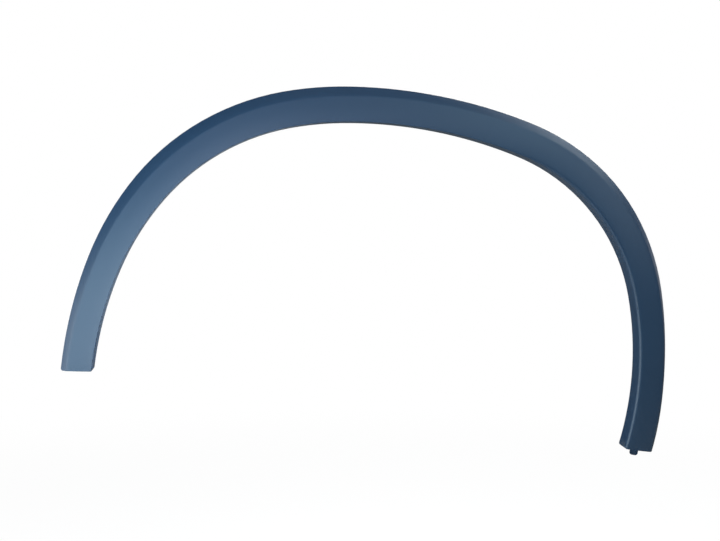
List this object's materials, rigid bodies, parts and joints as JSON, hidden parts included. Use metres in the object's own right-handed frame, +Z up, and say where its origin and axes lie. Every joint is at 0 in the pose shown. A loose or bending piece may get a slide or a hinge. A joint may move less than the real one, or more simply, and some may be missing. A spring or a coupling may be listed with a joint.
{
  "type": "wheel arch trim",
  "caption": "Moulded plastic trim that edges a car's wheel opening: a chamfered band with a return flange, clip houses and push-in clips on its back.",
  "frame": {"origin": "centre of the screw hole in the flange at the crown of the arch", "axes": "+X along the car, +Y into the car body, +Z up as the trim sits on the car"},
  "size_m": [0.8751, 0.0658, 0.5355],
  "materials": {
    "trim_plastic": "satin moulded",
    "clip_plastic": "natural moulded"
  },
  "bodies": {
    "root": {"arch_trim": "trim_plastic", "retaining_clips": "clip_plastic"}
  },
  "joints": []
}
